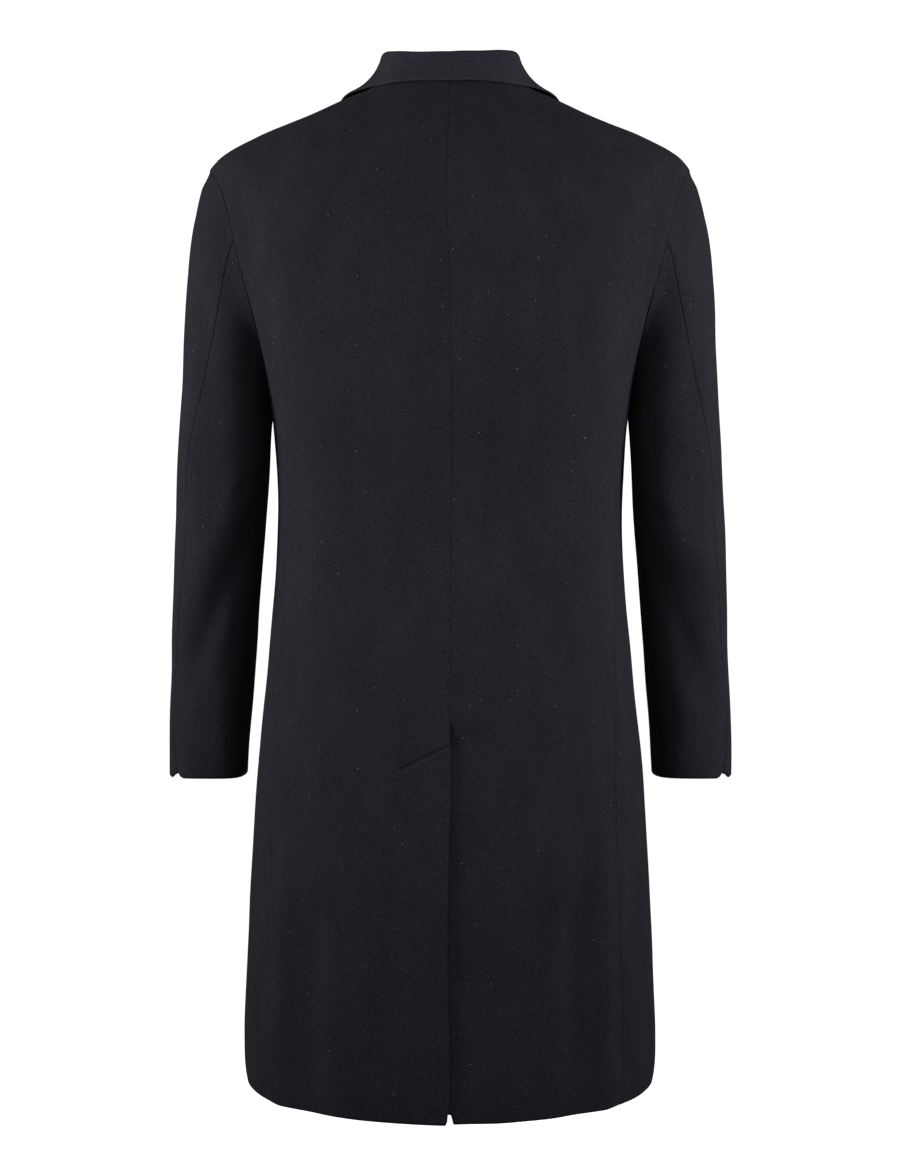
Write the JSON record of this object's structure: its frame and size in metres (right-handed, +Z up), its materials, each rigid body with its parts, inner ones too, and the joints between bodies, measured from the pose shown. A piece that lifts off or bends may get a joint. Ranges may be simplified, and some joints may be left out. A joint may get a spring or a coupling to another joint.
{
  "type": "double-breasted overcoat",
  "caption": "Knee-length double-breasted wool overcoat, filled out as if worn but hollow, with turned-down collar, peaked lapels, two-piece sleeves and a centre-back vent.",
  "frame": {"origin": "middle of the neck opening, level with the tops of the shoulders, where the wearer's neck and shoulders hold the coat", "axes": "+Z up, the front of the coat faces -Y, the wearer's left side is +X"},
  "size_m": [0.5684, 0.3583, 1.0296],
  "materials": {
    "brushed_wool": "soft brushed woollen overcoat cloth, near-black navy",
    "button_horn": "dark horn-like button, half polished"
  },
  "bodies": {
    "root": {"back_left": "brushed_wool", "back_right": "brushed_wool", "front_left": "brushed_wool", "front_right": "brushed_wool", "lapel_left": "brushed_wool", "lapel_right": "brushed_wool", "top_sleeve_left": "brushed_wool", "top_sleeve_right": "brushed_wool", "under_sleeve_left": "brushed_wool", "under_sleeve_right": "brushed_wool", "collar": "brushed_wool", "button_1": "button_horn", "button_2": "button_horn", "button_3": "button_horn", "button_4": "button_horn", "button_5": "button_horn", "button_6": "button_horn"}
  },
  "joints": []
}
